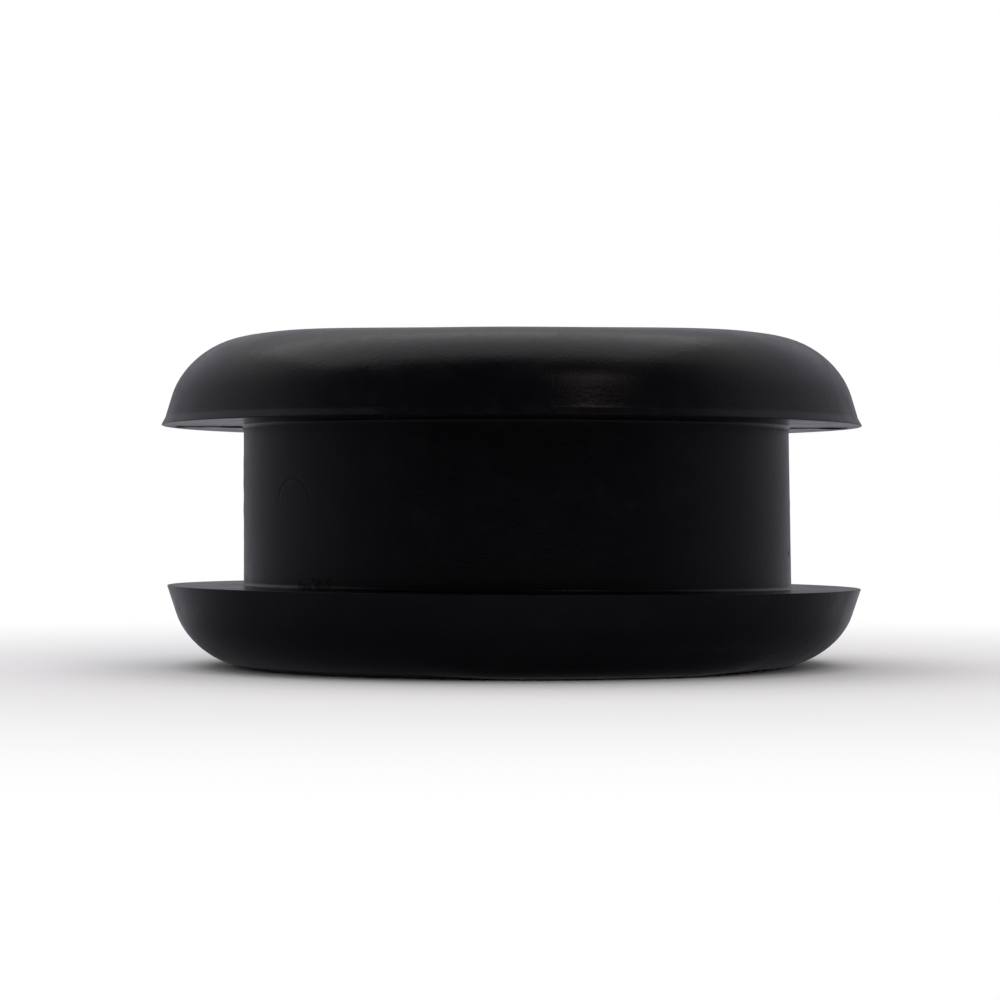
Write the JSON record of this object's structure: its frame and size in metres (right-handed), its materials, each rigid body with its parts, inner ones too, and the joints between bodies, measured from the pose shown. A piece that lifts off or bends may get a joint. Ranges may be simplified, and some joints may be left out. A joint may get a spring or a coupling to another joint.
{
  "type": "rubber grommet",
  "caption": "Round black rubber grommet with domed flanges either side of a groove that grips the edge of a panel hole, and a smooth bore for a cable.",
  "frame": {"origin": "centre of the lower flange's outer face, which the grommet stands on", "axes": "+Z along the bore, from the lower flange to the slightly larger upper flange; X and Y lie in the panel's plane and are alike all round"},
  "size_m": [0.0286, 0.0286, 0.0133],
  "materials": {
    "rubber": "satin"
  },
  "bodies": {
    "root": {"grommet": "rubber"}
  },
  "joints": []
}
